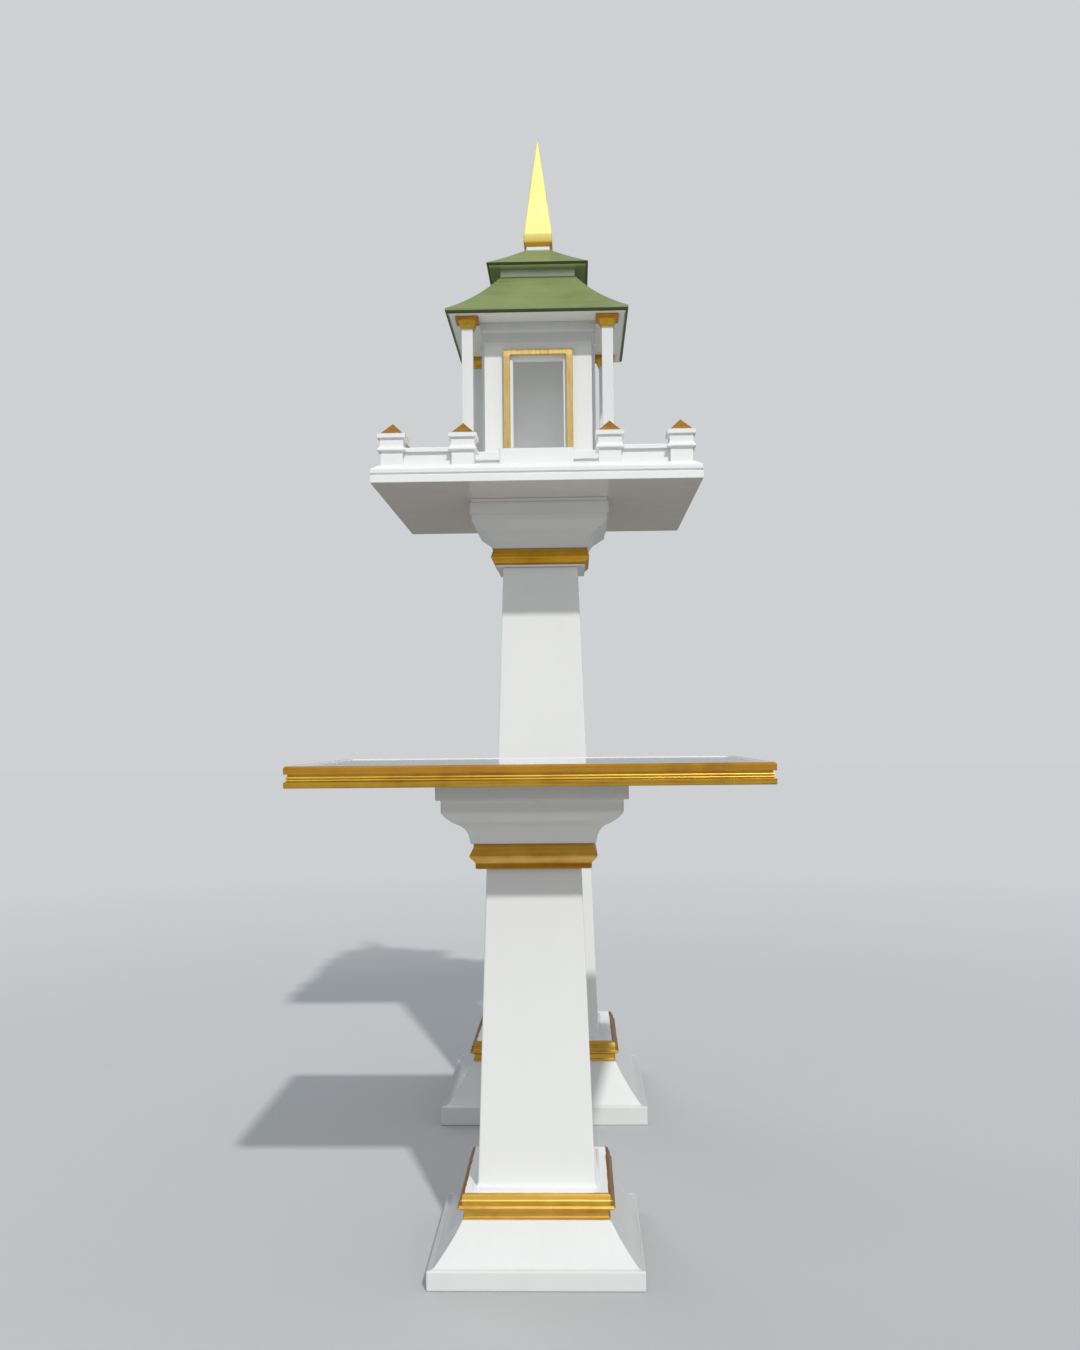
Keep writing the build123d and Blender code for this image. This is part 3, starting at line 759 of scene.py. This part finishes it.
def gold_paints():
    """The gold paint of each gilded node."""
    caps = gold_paint("gold_caps", CAP_GOLD, streaks=SHORT_STREAKS)
    capitals = gold_paint(
        "gold_capitals",
        CAPITAL_GOLD,
        streaks=SHORT_STREAKS,
        bands=("front_column_capitals", COLUMN_CAPITAL_BANDS),
    )
    paints = {node: caps for node in frame["nodes"] if node.endswith("_caps")}
    paints |= {node: capitals for node in frame["nodes"] if node.endswith("column_capitals")}
    for node, name in (("pillar_foot_band", "gold_foot_band"), ("table_foot_band", "gold_table_foot_band")):
        paints[node] = gold_paint(
            name, FOOT_GOLD, metallic=0.86, white_top=top_of(node, BAND_MARGIN), flank=flank_of(node)
        )
    paints["pillar_neck_band"] = gold_paint(
        "gold_neck_band",
        NECK_GOLD,
        metallic=0.88,
        roughness=(0.28, 0.44),
        bands=("pillar_neck_band", PILLAR_NECK_BANDS),
        white_below=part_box("pillar_neck_band")[0].z + NECK_STRIP,
    )
    paints["table_neck_band"] = gold_paint(
        "gold_table_neck_band",
        TABLE_NECK_GOLD,
        metallic=0.68,
        roughness=(0.38, 0.50),
        bands=("table_neck_band", TABLE_NECK_BANDS),
    )
    paints["table_edge"] = gold_paint(
        "gold_table_edge",
        EDGE_GOLD,
        metallic=0.5,
        roughness=(0.26, 0.40),
        coat=0.3,
        bands=("table_edge", TABLE_EDGE_BANDS),
        white_top=top_of("table_edge", EDGE_MARGIN),
        streak_rise=EDGE_STREAK_RISE,
        speck_rise=EDGE_SPECK_RISE,
    )
    paints["door_frame"] = gold_paint(
        "gold_door_frame",
        DOOR_GOLD,
        streaks=DOOR_STREAKS,
        metallic=0.6,
        bands=("door_frame", DOOR_FRAME_BANDS),
    )
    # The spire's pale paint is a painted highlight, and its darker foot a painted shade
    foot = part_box("spire")[0].z
    paints["spire"] = gold_paint(
        "gold_spire",
        SPIRE_GLINT_GOLD,
        streaks=SPIRE_STREAKS,
        metallic=0.3,
        roughness=(0.46, 0.54),
        evenness=0.22,
        rounding=SPIRE_ROUNDING,
        deep_foot=(foot + SPIRE_FOOT_LOW, foot + SPIRE_FOOT_HIGH, SPIRE_FOOT),
    )
    return paints


def other_paints():
    """The paint of the roofs, their neck and the table top."""
    neck_half = plan("roof_neck")[1][0]
    paints = {
        node: green_paint(node + "_green", node, height, neck_half) for node, height in EAVES_HEIGHTS.items()
    }
    paints["roof_neck"] = neck_paint("roof_neck_enamel", "roof_neck")
    paints["table_top"] = polished_top("polished_top", "table_top")
    return paints


def dress(node, name, material):
    """Give a node its paint, and soften its corners without moving its faces."""
    node.data.materials.clear()
    node.data.materials.append(material)
    weld = node.modifiers.new("join_faces", "WELD")
    weld.merge_threshold = MERGE_DISTANCE
    if "wall" not in name:
        soft = node.modifiers.new("soft_edges", "BEVEL")
        soft.width = SOFT_EDGES.get(name, SMALL_EDGE)
        soft.segments = 2
        soft.limit_method = "ANGLE"
        soft.angle_limit = SOFT_ANGLE
        soft.use_clamp_overlap = True
    shade = node.modifiers.new("even_shading", "WEIGHTED_NORMAL")
    shade.keep_sharp = True
    shade.weight = FACE_WEIGHT


def cove(name, node, size, material):
    """Trowelled hollow fillet where a shaft stands on its foot."""
    (x, y), (half, _) = plan(node)
    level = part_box(node)[0].z
    outline = [(-COVE_SUNK, -COVE_SUNK), (size, -COVE_SUNK)]
    for step in range(COVE_STEPS + 1):
        turn = math.pi / 2 * step / COVE_STEPS
        outline.append((size - size * math.sin(turn), size - size * math.cos(turn)))
    outline.append((-COVE_SUNK, size))
    points = [
        (x + across * (half + out), y + along * (half + out), level + up)
        for across, along in ((-1, -1), (1, -1), (1, 1), (-1, 1))
        for out, up in outline
    ]
    count = len(outline)
    faces = []
    for corner in range(4):
        here = corner * count
        there = (corner + 1) % 4 * count
        for step in range(count):
            after = (step + 1) % count
            faces.append((here + step, there + step, there + after, here + after))
    mesh = bpy.data.meshes.new(name)
    mesh.from_pydata(points, [], faces)
    mesh.materials.append(material)
    mesh.shade_smooth()
    piece = bpy.data.objects.new(name, mesh)
    bpy.context.scene.collection.objects.link(piece)
    edges = piece.modifiers.new("crisp_corners", "EDGE_SPLIT")
    edges.split_angle = COVE_ANGLE
    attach(piece, "root")
    return piece


def floor_material():
    """Plain pale floor that keeps the shadow near the object and fades into the backdrop."""
    paint = Paint("studio_floor")
    path = paint.add("ShaderNodeLightPath").outputs
    tone = paint.remap(paint.noise(FLOOR_CLOUDS, detail=4.0), GLOSS_SPAN)
    pale = paint.mix(tone, FLOOR_COLOUR, tuple(c * FLOOR_VARIATION for c in FLOOR_COLOUR))
    paint.cover(paint.mix(path["Is Diffuse Ray"], pale, FLOOR_BOUNCE), FLOOR_ROUGHNESS)
    paint.shader.inputs["Specular IOR Level"].default_value = FLOOR_SHEEN
    behind = paint.remap(paint.axes[1], (BEHIND_NEAR, BEHIND_FAR))
    ground = paint.mix(behind, MIRRORED, MIRRORED_BEHIND)
    glow = paint.add("ShaderNodeEmission")
    paint.link(paint.mix(path["Is Glossy Ray"], BACKDROP, ground), glow.inputs["Color"])
    seen = paint.math("MAXIMUM", path["Is Camera Ray"], path["Is Glossy Ray"])
    seen = paint.math("MAXIMUM", seen, path["Is Transmission Ray"])
    length = paint.add("ShaderNodeVectorMath")
    length.operation = "LENGTH"
    paint.link(paint.place, length.inputs[0])
    far = paint.remap(length.outputs["Value"], (FLOOR_NEAR, FLOOR_FAR))
    fade = paint.math("MULTIPLY", seen, paint.math("SMOOTH_MIN", far, 1.0))
    surface = paint.either(fade, paint.shader.outputs["BSDF"], glow.outputs["Emission"])
    paint.link(surface, paint.output)
    return paint.material


def floor():
    """A wide level sheet under the object."""
    mesh = bpy.data.meshes.new("studio_floor")
    corners = [(x * FLOOR_HALF, y * FLOOR_HALF, 0) for x, y in ((-1, -1), (1, -1), (1, 1), (-1, 1))]
    mesh.from_pydata(corners, [], [(0, 1, 2, 3)])
    mesh.materials.append(floor_material())
    sheet = bpy.data.objects.new("studio_floor", mesh)
    bpy.context.scene.collection.objects.link(sheet)


def world():
    """An even sky for the light, and a plain pale backdrop for what the camera sees."""
    sky = bpy.data.worlds.new("studio")
    bpy.context.scene.world = sky
    sky.use_nodes = True
    nodes = Nodes(sky.node_tree)

    def background(colour, strength=1.0):
        node = nodes.add("ShaderNodeBackground")
        nodes.fill(node.inputs["Color"], colour)
        nodes.fill(node.inputs["Strength"], strength)
        return node.outputs["Background"]

    path = nodes.add("ShaderNodeLightPath").outputs
    light = background(SKY_COLOUR, SKY_STRENGTH)
    unseen = nodes.either(path["Is Glossy Ray"], light, background(MIRRORED))
    direct = nodes.math("MAXIMUM", path["Is Camera Ray"], path["Is Transmission Ray"])
    surface = nodes.either(direct, unseen, background(BACKDROP))
    nodes.link(surface, nodes.add("ShaderNodeOutputWorld").inputs["Surface"])


def lamp(name, direction, strength, width, colour, mirrored=True, only=()):
    """A far lamp that shines from this direction, with or without glints on polished work.

    With only, it lights just these nodes and casts no shade.
    """
    light = bpy.data.lights.new(name, "SUN")
    light.energy = strength
    light.angle = math.radians(width)
    light.color = colour
    holder = bpy.data.objects.new(name, light)
    bpy.context.scene.collection.objects.link(holder)
    holder.rotation_mode = "QUATERNION"
    holder.rotation_quaternion = Vector(direction).to_track_quat("Z", "Y")
    holder.location = Vector(direction) * LAMP_DISTANCE
    holder.visible_glossy = mirrored
    if only:
        light.use_shadow = False
        lit = bpy.data.collections.new(name)
        for node in only:
            lit.objects.link(frame["nodes"][node])
        holder.light_linking.receiver_collection = lit


def camera():
    """The photograph's own viewpoint, framed 1080 by 1350."""
    data = bpy.data.cameras.new("photograph")
    data.sensor_width = SENSOR_WIDTH
    data.lens = data.sensor_width * FOCAL_PIXELS / IMAGE_HEIGHT
    holder = bpy.data.objects.new("photograph", data)
    bpy.context.scene.collection.objects.link(holder)
    yaw, pitch, roll = CAMERA_YAW, CAMERA_PITCH, CAMERA_ROLL
    level = math.cos(pitch)
    forward = Vector((math.sin(yaw) * level, math.cos(yaw) * level, math.sin(pitch)))
    right_level = Vector((math.cos(yaw), -math.sin(yaw), 0))
    up_level = Vector((-math.sin(pitch) * math.sin(yaw), -math.sin(pitch) * math.cos(yaw), level))
    right = math.cos(roll) * right_level + math.sin(roll) * up_level
    up = math.cos(roll) * up_level - math.sin(roll) * right_level
    turn = Matrix((right, up, -forward)).transposed().to_4x4()
    holder.matrix_world = Matrix.Translation(CAMERA_PLACE) @ turn
    bpy.context.scene.camera = holder


plain_white = white_paint("white_enamel")
paints = white_paints() | gold_paints() | other_paints()
for name, node in frame["nodes"].items():
    dress(node, name, paints.get(name, plain_white))
for name, node, size in COVES:
    cove(name, node, size, paints[node])

floor()
world()
lamp("front_lamp", *MAIN_LAMP)
lamp("fill_lamp", *FILL_LAMP, mirrored=False)
lamp("back_lamp", *BACK_LAMP, mirrored=False)
lamp("room_lamp", *ROOM_LAMP, mirrored=False, only=("rear_wall",))
camera()
bpy.context.scene.view_settings.view_transform = "Standard"
